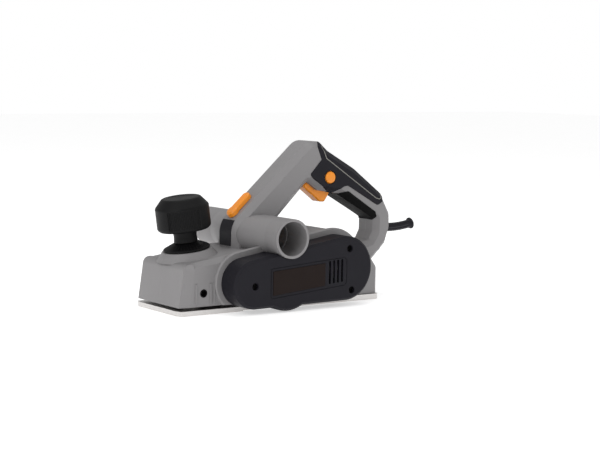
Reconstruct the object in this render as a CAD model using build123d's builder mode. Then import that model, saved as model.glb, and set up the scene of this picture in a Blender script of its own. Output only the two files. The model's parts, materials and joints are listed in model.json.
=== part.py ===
"""Electric hand planer, in millimetres.

The sole lies in the plane Z = 0. +X runs from the knob to the cord, +Z is up, and the
belt cover is on the -Y side. The origin is the middle of the sole.
"""

from math import asin, atan2, cos, hypot, radians, sin
import os

from build123d import *

os.makedirs("parts", exist_ok=True)

# ---- driving dimensions ----------------------------------------------------------
# clearances
running_gap = 0.05
slip_gap = 0.15
part_gap = 0.3

# sole and housing
sole_length = 250.0
sole_width = 88.0
rear_sole_thickness = 6.0
shoe_thickness = 5.0
shoe_corner_depth = 2.5
shoe_corner_width = 8.0
shoe_gap = 0.6
shoe_shoulder_x = -50.0
body_width = 84.0
body_front_x = -124.5
body_rear_x = 125.5
wall = 3.0
body_chamfer = 5.0
nose_flat = 13.0
nose_half = 40.8
lean = 8.2  # degrees that the knob leans forward and the nose leans back
deck_front_x = -117.5
deck_front_z = 50.2
deck_rear_x = -44.0

# cutter drum
drum_x = -15.0
drum_z = 23.6
cutting_radius = 23.4
drum_radius = 21.0
drum_length = 75.0
drum_shaft_diameter = 8.0
bearing_outer = 22.0
bearing_width = 5.0
blade_thickness = 1.2
blade_depth = 8.0
clamp_width = 6.5
pocket_depth = 9.0
blade_screw_diameter = 4.0
blade_screw_low = 9.0
base_wall = 3.5
drum_end_gap = 0.7
base_wall_height = 42.0

# motor
motor_x = 61.5
motor_z = 40.0
casing_radius = 37.5
field_radius = 31.0
field_length = 26.0
field_bore_radius = 17.5
armature_radius = 17.0
armature_shaft_diameter = 8.0
motor_bearing_outer = 19.0
motor_bearing_width = 5.0
fan_radius = 28.0
fan_width = 7.0
commutator_radius = 10.5
commutator_length = 10.0
winding_radius = 15.0
winding_length = 9.0
motor_centre_y = 1.0
brush_size = 6.0
brush_length = 9.0

# belt drive
pulley_width = 10.0
drum_pulley_radius = 16.0
motor_pulley_radius = 10.5
belt_thickness = 2.2
pulley_inner_y = -47.5
pulley_nut_width = 12.0
pulley_nut_height = 4.5

# belt cover
cover_back_y = -44.3
cover_depth = 25.7
cover_wall = 2.5
cover_front_x = -51.5
cover_front_z = 30.2
cover_front_radius = 25.0
cover_rear_z = 39.8
cover_rear_radius = 33.5
cover_bump_x = -12.0
cover_bump_radius = 38.0
cover_bump_low = 0.9
cover_edge = 2.6
cover_flange = 6.5
cover_screw_diameter = 4.0
cover_screw_head = 7.0
cover_screw_places = [(-52.5, 28.5), (64.9, 60.5), (68.0, 16.9)]
vent_width = 2.6
vent_pitch = 5.2
vent_count = 4
vent_first_x = 39.6
label_thickness = 0.9
label_corners = [((-31.0, 42.4), 0), ((33.4, 47.0), 0), ((33.4, 23.8), 0), ((-31.0, 17.9), 0)]
frame_corners = [((-34.2, 45.6), 2), ((61.6, 52.6), 5), ((61.6, 22.6), 5), ((-34.2, 14.4), 2)]

# chip outlet
outlet_x = -9.9
outlet_z = 74.5
outlet_outer_radius = 20.2
outlet_bore_radius = 17.5
outlet_socket_depth = 35.0
outlet_throat_radius = 16.8
outlet_rim_y = 73.0
far_outlet_rim_y = 86.0
outlet_root_x = -16.5
outlet_root_radius = 24.0
outlet_root_y = 18.0
outlet_neck_y = 52.0

# handle
handle_width = 36.0
handle_chamfer_side = 6.0
handle_chamfer_depth = 7.0
panel_thickness = 1.6
panel_proud = 0.5
duct_panel_width = 21.0

strut_foot = (-44.0, 86.0)
strut_head = (50.0, 170.0)

# depth knob
knob_x = -90.4
knob_z = 61.6
boss_radius = 25.5
boss_root_radius = 32.0
boss_height = 9.0
dial_radius = 24.0
dial_height = 7.2
knob_neck_radius = 12.2
knob_head_start = 21.5
knob_head_radius = 27.6
knob_head_height = 31.9
knob_top_radius = 19.0
depth_screw_diameter = 12.0
depth_travel = 2.5

# controls
trigger_width = 14.0
trigger_travel = 4.5
button_x = 76.2
button_z = 130.8
button_radius = 7.0
button_travel = 3.0

# fasteners and guides
screw_diameter = 4.0
screw_head_diameter = 7.0
screw_head_height = 2.6
screw_boss_radius = 4.6
fence_x = -95.7
fence_z = 21.4
fence_bore_radius = 3.2
fence_insert_radius = 4.2
fence_insert_length = 9.0

# cord guard
guard_z = 71.5
guard_radius = 4.6
guard_bore_radius = 2.9
guard_bell_radius = 6.6

guard_seat_x = 157.3
guard_end = (204.0, 75.0)

# chip selector
selector_x = -25.4
selector_length = 34.0
selector_height = 5.5
spindle_radius = 3.0
spindle_depth = 24.0
vane_start = 20.0
vane_length = 20.0
spring_clearance = 2.5
vane_width = 14.0
vane_shift = -3.0

# switch
switch_x = 76.5
switch_z = 136.5
switch_slope = -35.0
switch_length = 32.0
switch_height = 15.0
switch_width = 16.0
button_proud = 2.2
button_flange = 1.5

# depth screw, nut and shoe boss, as heights along the knob's axis from the dial's seat
shoe_boss_top = -37.0
shoe_boss_radius = 11.0
shoe_bore_low = -55.5
shoe_lip_x = -28.5
depth_nut_radius = 8.5
depth_nut_length = 12.0
depth_screw_low = -51.0
collar_radius = 9.0
collar_top = -19.5

# small fastenings
base_screw_x = (27.0, 96.0)
base_screw_y = 34.0
base_screw_top = 17.0
housing_head_depth = 6.0
housing_screw_bite = 9.0
cover_screw_seat_y = -64.0
cover_screw_tip_y = -39.0
pulley_rim = 1.2
rib_places = (-104.7, -87.7, -83.8)
rib_width = 2.0
rib_height = 0.9
grip_patch_count = 3
grip_patch_angle = 66.0
grip_facing_angle = -118.0
grip_groove_radius = 1.0
clamp_x = (144.5, 150.5)
clamp_z = (63.0, 80.0)
clamp_screw_x = 147.5
clamp_screw_z = (65.6, 77.4)
clamp_screw_tip_y = 6.0

# ---- worked-out places -------------------------------------------------------------
half_body = body_width / 2
half_sole = sole_width / 2
half_handle = handle_width / 2
body_bottom_z = rear_sole_thickness + part_gap
shoe_well_z = shoe_thickness + depth_travel + shoe_gap
shoe_well_rear_x = -42.0
half_drum = drum_length / 2
base_wall_inner_y = half_drum + drum_end_gap
base_wall_outer_y = base_wall_inner_y + base_wall
cover_face_y = cover_back_y - cover_depth
pulley_outer_y = pulley_inner_y - pulley_width
deck_slope = radians(lean)
deck_rear_z = deck_front_z + (deck_rear_x - deck_front_x) * sin(deck_slope) / cos(deck_slope)
knob_axis = (-sin(deck_slope), 0, cos(deck_slope))
knob_plane = Plane(origin=(knob_x, 0, knob_z), x_dir=(cos(deck_slope), 0, sin(deck_slope)), z_dir=knob_axis)
drum_plane = Plane(origin=(drum_x, 0, drum_z), x_dir=(1, 0, 0), z_dir=(0, -1, 0))
bearing_boss_y = base_wall_outer_y + 2.4
selector_angle = atan2(strut_head[1] - strut_foot[1], strut_head[0] - strut_foot[0])
selector_z = strut_foot[1] + (selector_x - strut_foot[0]) * sin(selector_angle) / cos(selector_angle)
selector_plane = Plane(
    origin=(selector_x, 0, selector_z),
    x_dir=(cos(selector_angle), 0, sin(selector_angle)),
    z_dir=(-sin(selector_angle), 0, cos(selector_angle)),
)
selector_axis = Axis(selector_plane.origin, selector_plane.z_dir)
switch_angle = radians(switch_slope)
switch_plane = Plane(
    origin=(switch_x, 0, switch_z), x_dir=(cos(switch_angle), 0, sin(switch_angle)), z_dir=(0, -1, 0)
)

# One point and one corner radius for each corner: the strut rises to the top of the
# handle, the grip falls to the rear post and the post runs down into the tail.
handle_corners = [
    ((strut_foot[0], 30), 0), (strut_foot, 24), (strut_head, 18), ((64, 169), 10), ((76, 158.5), 12),
    ((112, 138.5), 40), ((150, 110), 16), ((162.5, 88), 11), ((163, 74), 11), ((157, 56), 0),
    ((124, 24), 0), ((60, 20), 0),
]
opening_corners = [
    ((-8, 71), 4), ((49.5, 127.5), 5), ((64, 117), 4), ((88, 113.5), 6), ((131, 89.3), 8),
    ((139, 84.5), 3), ((139, 70), 8), ((134, 61), 0), ((100, 50), 4), ((30, 55), 20),
]
body_corners = [
    ((body_front_x, body_bottom_z), 0), ((deck_front_x, deck_front_z), 7),
    ((deck_rear_x, deck_rear_z), 10), ((14, 62), 20), ((46, 70), 8), ((100, 56), 10),
    ((115, 48), 8), ((body_rear_x, 34), 6), ((body_rear_x, body_bottom_z), 0),
]
base_wall_corners = [
    ((-41, 7.5), 3), ((-41, 27), 6), ((-30, base_wall_height), 6), ((4, base_wall_height), 6),
    ((16, 27), 6), ((24, rear_sole_thickness), 0), ((-2, 3), 0), ((-30, 3), 2),
]
panel_corners = [
    ((70, 176), 0), ((59.3, 163.6), 1), ((64.8, 149.9), 2), ((50.2, 134.6), 2), ((52.7, 131.4), 2),
    ((80.4, 112.6), 4), ((94.8, 120.6), 6), ((100.1, 121.5), 4), ((141.3, 98.5), 4),
    ((149.4, 103.6), 3), ((163, 118), 0), ((120, 160), 0), ((90, 176), 0),
]
inlay_corners = [
    ((76, 178), 0), ((65.5, 162), 1), ((70.5, 150.9), 1), ((138.3, 106.2), 3), ((143.8, 104.5), 3),
    ((165, 126), 0), ((120, 166), 0), ((90, 182), 0),
]
under_grip_corners = [
    ((80, 100), 0), ((83, 110.4), 2), ((100.5, 115.4), 4), ((138.2, 91.6), 4),
    ((141.5, 86), 2), ((136, 79), 0), ((110, 79), 0),
]
duct_panel_corners = [((-50, 62.8), 0), ((-50, 89), 0), ((-36, 89), 0), ((-36, 62.8), 0)]
trigger_corners = [
    ((48.2, 121.4), 3), ((71, 104.2), 4), ((77.5, 103.8), 4), ((84, 113.5), 0), ((58, 132.5), 0),
]
trigger_push = (0.65, 0, 0.76)
housing_screw_places = [(58, 154), (101, 119), (143, 53), (112, 20), (-110, 36), (-58, 50)]


# ---- helpers -----------------------------------------------------------------------
def side_plane(y):
    """Plane at one Y whose sketch axes are X and Z; a positive extrude goes to -Y."""
    return Plane.XZ.offset(-y)


def save(piece, name):
    """Label one finished piece and write it as its own STEP file."""
    piece.part.label = name
    export_step(piece.part, f"parts/{name}.step")


def round_face(x, z, radius, y):
    """A disc in the side plane at one Y."""
    with BuildSketch(side_plane(y)) as disc:
        with Locations((x, z)):
            Circle(radius)
    return disc.sketch


def bar(x, z, radius, y_from, y_to, mode=Mode.ADD):
    """Cylinder along Y, added to or cut from the part being built."""
    extrude(round_face(x, z, radius, y_to), amount=y_to - y_from, mode=mode)


def moved_to_y(face, y):
    """The same side outline carried from Y = 0 to another Y."""
    return Pos(0, y, 0) * face


def tube(x, z, outer, inner, y_from, y_to):
    """Ring along Y, added to the part being built."""
    face = round_face(x, z, outer, y_to) - round_face(x, z, inner, y_to)
    extrude(face, amount=y_to - y_from)


def block(x_range, y_range, z_range, mode=Mode.ADD):
    """Box between three pairs of limits, added to or cut from the part being built."""
    limits = (x_range, y_range, z_range)
    centre = tuple((low + high) / 2 for low, high in limits)
    with Locations(centre):
        Box(*(high - low for low, high in limits), mode=mode)


def outline_face(corners, plane=Plane.XZ, grow=0.0):
    """Closed face through rounded corners, grown or shrunk by an offset."""
    points = [corner[0] for corner in corners]
    radii = [corner[1] for corner in corners]
    with BuildSketch(plane) as outline:
        with BuildLine():
            FilletPolyline(*points, radius=radii, close=True)
        make_face()
        if grow:
            offset(amount=grow, kind=Kind.INTERSECTION)
    return outline.sketch


def handle_form(grow=0.0):
    """Bevelled bar in the shape of strut, grip and post, with the hand opening."""
    half = half_handle + grow
    flat_half = half - handle_chamfer_side
    flare_planes = [
        Plane(origin=(0, -flat_half, 0), x_dir=(1, 0, 0), z_dir=(0, -1, 0)),
        Plane(origin=(0, flat_half, 0), x_dir=(-1, 0, 0), z_dir=(0, 1, 0)),
    ]
    with BuildPart() as opening:
        extrude(outline_face(opening_corners, grow=-grow), amount=flat_half, both=True)
        for flare_plane in flare_planes:
            mirrored = flare_plane.x_dir.X < 0
            corners = [((-x, z), r) if mirrored else ((x, z), r) for (x, z), r in opening_corners]
            extrude(outline_face(corners, flare_plane, -grow), amount=handle_chamfer_side + 1, taper=-45)
    with BuildPart() as form:
        extrude(outline_face(handle_corners, grow=grow), amount=half, both=True)
        sides = form.faces().filter_by(Axis.Y).sort_by(Axis.Y)
        rim_edges = sides[0].edges() + sides[-1].edges()
        chamfer(rim_edges, length=handle_chamfer_side, length2=handle_chamfer_depth)
        add(opening.part, mode=Mode.SUBTRACT)
    return form.part


def skin(corners, clearance=0.0):
    """Layer at the handle's surface inside a side outline, from below it to just proud."""
    with BuildPart() as layer:
        add(handle_form(panel_proud))
        add(handle_form(panel_proud - panel_thickness - clearance), mode=Mode.SUBTRACT)
        extrude(outline_face(corners, grow=clearance), amount=half_handle + 2, both=True, mode=Mode.INTERSECT)
    return layer.part


def tangent_outline(first, second):
    """Face round two discs, each given as (x, z, radius), and their outer tangents."""
    run = second[0] - first[0]
    rise = second[1] - first[1]
    tilt = atan2(rise, run)
    flare = asin((second[2] - first[2]) / hypot(run, rise))
    corners = []
    for side, (x, z, radius) in ((1, first), (1, second), (-1, second), (-1, first)):
        angle = tilt + side * flare
        corners.append((x - side * radius * sin(angle), z + side * radius * cos(angle)))
    with BuildSketch(Plane.XZ) as outline:
        with BuildLine():
            Polyline(*corners, close=True)
        make_face()
        for x, z, radius in (first, second):
            with Locations((x, z)):
                Circle(radius)
    return outline.sketch


def cover_outline(grow=0.0, bump=True):
    """Side outline of the belt cover, with the low bulge beside the cutter drum."""
    front = (cover_front_x, cover_front_z, cover_front_radius + grow)
    rear = (motor_x, cover_rear_z, cover_rear_radius + grow)
    with BuildSketch(Plane.XZ) as outline:
        add(tangent_outline(front, rear))
        if bump:
            bump_z = cover_bump_low + cover_bump_radius
            with BuildSketch(Plane.XZ, mode=Mode.PRIVATE) as bulge:
                with Locations((cover_bump_x, bump_z)):
                    Circle(cover_bump_radius + grow)
                with Locations((cover_bump_x, bump_z + drum_z - cover_bump_low)):
                    Rectangle(4 * cover_bump_radius, 2 * cover_bump_radius, mode=Mode.SUBTRACT)
            add(bulge.sketch)
    return outline.sketch


# ---- housing -----------------------------------------------------------------------
def housing_form():
    """Outer form of both clamshell halves together, before it is hollowed."""
    with BuildPart() as low_body:
        extrude(outline_face(body_corners), amount=half_body, both=True)
        with BuildSketch(Plane.XY.offset(-20)) as plan:
            with BuildLine():
                nose_x = body_front_x - 26.3 * sin(deck_slope)
                Polyline(
                    (nose_x, -nose_flat), (nose_x + 0.6, -nose_half), (nose_x + 12, -half_body),
                    (140, -half_body), (140, half_body), (nose_x + 12, half_body),
                    (nose_x + 0.6, nose_half), (nose_x, nose_flat), close=True,
                )
            make_face()
        extrude(plan.sketch, amount=160, dir=(sin(deck_slope), 0, cos(deck_slope)), mode=Mode.INTERSECT)
        sides = low_body.faces().filter_by(Axis.Y).sort_by(Axis.Y)
        rims = (sides[0].edges() + sides[-1].edges()).filter_by(lambda edge: edge.center().Z > 38)
        chamfer(rims, length=body_chamfer)
    with BuildPart() as drum_casing:
        bar(motor_x, motor_z, casing_radius, -half_body, half_body)
        chamfer(drum_casing.faces().filter_by(Axis.Y).edges(), length=3)
    with BuildPart() as flange:
        extrude(cover_outline(cover_flange, bump=False), amount=-cover_back_y - part_gap)
        chamfer(flange.faces().sort_by(Axis.Y)[0].edges(), length=1.2)
        block((-100, 120), (-half_body + 1, 1), (-10, 90), mode=Mode.SUBTRACT)
    with BuildPart() as outlet:
        bar(outlet_x, outlet_z, outlet_outer_radius, -outlet_rim_y, far_outlet_rim_y)
        for side in (-1, 1):
            with BuildSketch(side_plane(side * outlet_root_y)) as root:
                with Locations((outlet_root_x, outlet_z)):
                    Ellipse(outlet_root_radius, outlet_outer_radius)
            neck = round_face(outlet_x, outlet_z, outlet_outer_radius, side * outlet_neck_y)
            loft([root.sketch.face(), neck.face()])
        with BuildSketch(side_plane(outlet_root_y)) as core:
            with Locations((outlet_root_x, outlet_z)):
                Ellipse(outlet_root_radius, outlet_outer_radius)
        extrude(core.sketch, amount=2 * outlet_root_y)
    with BuildPart() as knob_boss:
        with BuildSketch(knob_plane.offset(-boss_height)) as boss_root:
            Circle(boss_root_radius)
        with BuildSketch(knob_plane.offset(-part_gap)) as boss_top:
            Circle(boss_radius)
        loft([boss_root.sketch.face(), boss_top.sketch.face()])
    with BuildPart() as form:
        add(handle_form())
        add(low_body.part)
        add(drum_casing.part)
        add(flange.part)
        add(outlet.part)
        add(knob_boss.part)
        block((-200, 200), (-100, 100), (-20, body_bottom_z), mode=Mode.SUBTRACT)
        block((-200, shoe_well_rear_x), (-100, 100), (-20, shoe_well_z), mode=Mode.SUBTRACT)
    return form.part


def housing_cavity():
    """Everything that is hollow inside the closed housing."""
    narrow = half_handle - handle_chamfer_side - 2
    with BuildPart() as grip_space:
        extrude(outline_face(handle_corners, grow=-wall), amount=narrow, both=True)
        inner_outline = outline_face(handle_corners, grow=-handle_chamfer_depth - wall)
        extrude(inner_outline, amount=half_handle - wall, both=True)
        extrude(outline_face(opening_corners, grow=wall), amount=narrow, both=True, mode=Mode.SUBTRACT)
        for side in (-1, 1):
            near, far = sorted((side * narrow, side * half_handle))
            keep_off = outline_face(opening_corners, side_plane(far), grow=handle_chamfer_depth + wall)
            extrude(keep_off, amount=far - near, mode=Mode.SUBTRACT)
        block((-60, 40), (-20, 20), (0, 112), mode=Mode.SUBTRACT)
        block((30, 118), (-20, 20), (0, 78), mode=Mode.SUBTRACT)
        block((110, 170), (-20, 20), (0, 44), mode=Mode.SUBTRACT)
    with BuildPart() as cavity:
        add(grip_space.part)
        bar(motor_x, motor_z, field_radius + running_gap, -32, half_body - 7)
        for y_from, y_to in ((-38, -32), (half_body - 7, half_body - 2)):
            bar(motor_x, motor_z, motor_bearing_outer / 2 + running_gap, y_from, y_to)
        bar(motor_x, motor_z, armature_shaft_diameter / 2 + 1, -60, -30)
        block((100, body_rear_x - wall), (-half_body + wall, half_body - wall), (wall + 6, 33))
        block((104, 121), (-12, 12), (30, 46))
        block((-113, -55), (-half_body + wall + 1, half_body - wall - 1), (0, 45))
        bar(drum_x, drum_z, cutting_radius + 2, -base_wall_inner_y, base_wall_inner_y)
        block((-42, 12), (-base_wall_inner_y, base_wall_inner_y), (0, drum_z))
        block((-25, 5), (-half_body + 7, half_body - 7), (drum_z, outlet_z - 2))
        bar(outlet_x, outlet_z, outlet_throat_radius, -half_body, half_body + 10)
        bar(outlet_x, outlet_z, outlet_bore_radius, -outlet_rim_y - 1, -outlet_rim_y + outlet_socket_depth)
        far_socket_y = far_outlet_rim_y - outlet_socket_depth
        bar(outlet_x, outlet_z, outlet_bore_radius, far_socket_y, far_outlet_rim_y + 1)
        for side in (-1, 1):
            near, far = sorted((side * (base_wall_inner_y - slip_gap), side * (half_body + 8)))
            extrude(outline_face(base_wall_corners, side_plane(far), slip_gap), amount=far - near)
    return cavity.part


def knob_bar(radius, low, high, mode=Mode.ADD):
    """Cylinder along the knob's axis between two heights above the dial's seat."""
    with BuildSketch(knob_plane.offset(low)) as end:
        Circle(radius)
    extrude(end.sketch, amount=high - low, mode=mode)


def spindle_bar(radius, depth_from, depth_to, mode=Mode.ADD):
    """Cylinder along the chip selector's axis between two depths under the strut's face."""
    with BuildSketch(selector_plane.offset(-depth_to)) as end:
        Circle(radius)
    extrude(end.sketch, amount=depth_to - depth_from, mode=mode)


def upright_bar(x, y, radius, low, high, mode=Mode.ADD):
    """Cylinder along Z, added to or cut from the part being built."""
    with BuildSketch(Plane.XY.offset(low)) as end:
        with Locations((x, y)):
            Circle(radius)
    extrude(end.sketch, amount=high - low, mode=mode)


def trigger_space():
    """Room that the trigger sweeps as it is squeezed."""
    with BuildPart() as space:
        for share in (0, 0.5, 1):
            shift = share * trigger_travel
            moved = [
                ((x + shift * trigger_push[0], z + shift * trigger_push[2]), corner_radius)
                for (x, z), corner_radius in trigger_corners
            ]
            extrude(outline_face(moved, grow=part_gap), amount=trigger_width / 2 + part_gap, both=True)
    return space.part


def switch_block(grow=0.0):
    """Snap switch above the trigger, square to the trigger's push."""
    with BuildPart(switch_plane) as switch:
        Box(switch_length + 2 * grow, switch_height + 2 * grow, switch_width + 2 * grow)
    return switch.part


def boss_reach(x, z):
    """How far a housing screw boss runs to each side of the joint face."""
    return half_handle - 2 if x > body_rear_x or (z > 56 and x > 0) else half_body - 2


def button_hole():
    """Hole for the lock-on button through the left side of the handle."""
    bar(button_x, button_z, button_radius + part_gap, -half_handle - 3, -half_handle + 5, Mode.SUBTRACT)


def duct_panel_form(clearance=0.0):
    """Dark cover on the strut's foot, below the chip lever, following the strut's front."""
    with BuildPart() as cover:
        add(skin(duct_panel_corners, clearance))
        half_width = duct_panel_width / 2 + clearance
        block((-60, -20), (-half_width, half_width), (40, 110), Mode.INTERSECT)
    return cover.part


solid_housing = housing_form() - housing_cavity()
duct_recess = duct_panel_form(slip_gap)
panel_recess = skin(panel_corners, slip_gap)
under_grip_recess = skin(under_grip_corners, slip_gap)
for half_name, keep, side in (("left_housing", Keep.TOP, -1), ("right_housing", Keep.BOTTOM, 1)):
    with BuildPart() as half_housing:
        add(solid_housing)
        for x, z in housing_screw_places:
            reach = boss_reach(x, z)
            bar(x, z, screw_boss_radius, -reach, reach)
        for sign in (-1, 1):
            near, far = sorted((sign * (half_body - fence_insert_length - 2), sign * (half_body - 1)))
            bar(fence_x, fence_z, fence_insert_radius + 2.5, near, far)
        if side > 0:
            block(clamp_x, (-3, half_handle - 2), clamp_z)
        for x in rib_places:
            near, far = sorted((side * (half_body - 1), side * (half_body + rib_height)))
            block((x - rib_width / 2, x + rib_width / 2), (near, far), (11, 31))
        split(bisect_by=Plane.XZ, keep=keep)
        add(panel_recess, mode=Mode.SUBTRACT)
        add(under_grip_recess, mode=Mode.SUBTRACT)
        add(duct_recess, mode=Mode.SUBTRACT)
        add(trigger_space(), mode=Mode.SUBTRACT)
        add(switch_block(slip_gap), mode=Mode.SUBTRACT)
        knob_bar(depth_screw_diameter / 2 + part_gap, -25, 5, Mode.SUBTRACT)
        spindle_bar(spindle_radius + part_gap, -8, 20, Mode.SUBTRACT)
        with BuildSketch(Plane.YZ.offset(guard_seat_x)) as guard_hole:
            with Locations((0, guard_z)):
                Circle(guard_radius + slip_gap)
        extrude(guard_hole.sketch, amount=30, mode=Mode.SUBTRACT)
        near, far = sorted((side * (half_body - fence_insert_length), side * (half_body + 2)))
        bar(fence_x, fence_z, fence_insert_radius + running_gap, near, far, Mode.SUBTRACT)
        for x in base_screw_x:
            hole_radius = screw_diameter / 2 + running_gap
            upright_bar(x, side * base_screw_y, hole_radius, 0, base_screw_top + 1, Mode.SUBTRACT)
        for x, z in housing_screw_places:
            reach = boss_reach(x, z)
            head_floor = reach - housing_head_depth
            if side > 0:
                bar(x, z, screw_diameter / 2 + slip_gap, -1, reach, Mode.SUBTRACT)
                bar(x, z, screw_head_diameter / 2 + part_gap, head_floor, half_body + 8, Mode.SUBTRACT)
            else:
                bar(x, z, screw_diameter / 2 + running_gap, -housing_screw_bite - 1, 1, Mode.SUBTRACT)
        if side < 0:
            for x, z in cover_screw_places:
                bar(x, z, screw_diameter / 2 + running_gap, -50, cover_screw_tip_y + 1, Mode.SUBTRACT)
            button_hole()
            flange_room = button_radius + button_flange + part_gap
            bar(button_x, button_z, flange_room, -half_handle + wall, -half_handle + 10, Mode.SUBTRACT)
        else:
            for z in clamp_screw_z:
                hole_radius = screw_diameter / 2 + running_gap
                bar(clamp_screw_x, z, hole_radius, -8, clamp_screw_tip_y + 1, Mode.SUBTRACT)
    save(half_housing, half_name)
    print(half_name, "solids", len(half_housing.part.solids()))

with BuildPart() as under_grip:
    add(skin(under_grip_corners))
    add(trigger_space(), mode=Mode.SUBTRACT)
save(under_grip, "under_grip")

for name, keep in (("left", Keep.TOP), ("right", Keep.BOTTOM)):
    inlay_depth = 0.5
    with BuildPart() as inlay:
        add(handle_form(panel_proud + 0.15))
        add(handle_form(panel_proud - inlay_depth), mode=Mode.SUBTRACT)
        line_face = outline_face(inlay_corners) - outline_face(inlay_corners, grow=-0.9)
        extrude(line_face, amount=half_handle + 2, both=True, mode=Mode.INTERSECT)
        split(bisect_by=Plane.XZ, keep=keep)
    with BuildPart() as panel:
        add(skin(panel_corners))
        split(bisect_by=Plane.XZ, keep=keep)
        add(inlay.part, mode=Mode.SUBTRACT)
        add(trigger_space(), mode=Mode.SUBTRACT)
        if keep == Keep.TOP:
            button_hole()
    with BuildPart() as trimmed_inlay:
        add(inlay.part)
        extrude(outline_face(panel_corners), amount=half_handle + 2, both=True, mode=Mode.INTERSECT)
    save(panel, f"{name}_grip_panel")
    save(trimmed_inlay, f"{name}_panel_inlay")

with BuildPart() as duct_panel:
    add(duct_panel_form())
save(duct_panel, "duct_panel")

# ---- soles -------------------------------------------------------------------------
with BuildPart() as rear_base:
    with BuildSketch(Plane.XZ) as sole_side:
        with BuildLine():
            Polyline(
                (-2, 0), (sole_length / 2, 0), (sole_length / 2, rear_sole_thickness),
                (3, rear_sole_thickness), close=True,
            )
        make_face()
    extrude(sole_side.sketch, amount=half_sole, both=True)
    chamfer(rear_base.edges().filter_by(Axis.Z).sort_by(Axis.X)[-2:], length=3)
    for side in (-1, 1):
        near, far = sorted((side * base_wall_inner_y, side * base_wall_outer_y))
        extrude(outline_face(base_wall_corners, side_plane(far)), amount=far - near)
        near, far = sorted((side * base_wall_inner_y, side * bearing_boss_y))
        bar(drum_x, drum_z, bearing_outer / 2 + 3, near, far)
        bar(drum_x, drum_z, bearing_outer / 2 + running_gap, near - 1, far + 1, Mode.SUBTRACT)
        for x in base_screw_x:
            upright_bar(x, side * base_screw_y, screw_diameter / 2 + slip_gap, -1, 10, Mode.SUBTRACT)
            sink_radius = screw_head_diameter / 2 + part_gap
            upright_bar(x, side * base_screw_y, sink_radius, -1, screw_head_height + part_gap, Mode.SUBTRACT)
save(rear_base, "rear_base")

with BuildPart() as front_shoe:
    with BuildSketch(Plane.XZ) as shoe_side:
        with BuildLine():
            Polyline(
                (-sole_length / 2, 0), (shoe_lip_x, 0), (shoe_lip_x - 6, shoe_thickness),
                (-sole_length / 2, shoe_thickness), close=True,
            )
        make_face()
    extrude(shoe_side.sketch, amount=half_sole, both=True)
    for side in (-1, 1):
        near, far = sorted((side * (base_wall_inner_y - part_gap), side * 60))
        block((shoe_shoulder_x, 0), (near, far), (-1, 20), Mode.SUBTRACT)
    for side in (-1, 1):
        with BuildSketch() as corner_cut:
            with BuildLine():
                Polyline(
                    (-sole_length / 2, side * (half_sole - shoe_corner_width)),
                    (-sole_length / 2 + shoe_corner_depth, side * half_sole),
                    (-sole_length / 2, side * half_sole), close=True,
                )
            make_face()
        extrude(corner_cut.sketch, amount=shoe_thickness, mode=Mode.SUBTRACT)
    knob_bar(shoe_boss_radius, -64, shoe_boss_top)
    block((-140, 0), (-50, 50), (-20, 0), Mode.SUBTRACT)
    knob_bar(depth_nut_radius + running_gap, shoe_bore_low, 0, Mode.SUBTRACT)
save(front_shoe, "front_shoe")

with BuildPart() as base_screws:
    for side in (-1, 1):
        for x in base_screw_x:
            upright_bar(x, side * base_screw_y, screw_diameter / 2, screw_head_height, base_screw_top)
            upright_bar(x, side * base_screw_y, screw_head_diameter / 2, part_gap, screw_head_height)
            with Locations((x, side * base_screw_y, part_gap)):
                Box(3.0, 1.0, 1.6, mode=Mode.SUBTRACT)
                Box(1.0, 3.0, 1.6, mode=Mode.SUBTRACT)
save(base_screws, "base_screws")

# ---- depth adjuster ----------------------------------------------------------------
with BuildPart() as depth_nut:
    knob_bar(depth_nut_radius, shoe_boss_top - depth_nut_length, shoe_boss_top)
    nut_low = shoe_boss_top - depth_nut_length
    knob_bar(depth_screw_diameter / 2 + running_gap, nut_low - 1, shoe_boss_top + 1, Mode.SUBTRACT)
save(depth_nut, "depth_nut")

with BuildPart() as depth_screw:
    knob_bar(depth_screw_diameter / 2, depth_screw_low, knob_head_start + 12)
    knob_bar(collar_radius, collar_top - 2, collar_top)
save(depth_screw, "depth_screw")

with BuildPart() as depth_spring:
    spring_low = shoe_boss_top + depth_travel + spring_clearance
    spring_height = collar_top - 4.5 - spring_low
    with BuildLine(knob_plane.offset(spring_low)) as coil:
        Helix(pitch=spring_height / 3, height=spring_height, radius=8.5)
    with BuildSketch(Plane(origin=coil.line @ 0, z_dir=coil.line % 0)):
        Circle(0.8)
    sweep(path=coil.line, is_frenet=True)
save(depth_spring, "depth_spring")

with BuildPart() as depth_dial:
    with BuildSketch(knob_plane):
        Circle(dial_radius)
    with BuildSketch(knob_plane.offset(1.4)):
        Circle(dial_radius)
    loft()
    with BuildSketch(knob_plane.offset(1.4)) as cone_base:
        Circle(dial_radius)
    with BuildSketch(knob_plane.offset(dial_height)) as cone_top:
        Circle(knob_neck_radius + 1)
    loft([cone_base.sketch.face(), cone_top.sketch.face()])
    knob_bar(depth_screw_diameter / 2 + running_gap, -1, dial_height + 1, Mode.SUBTRACT)
save(depth_dial, "depth_dial")

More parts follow.
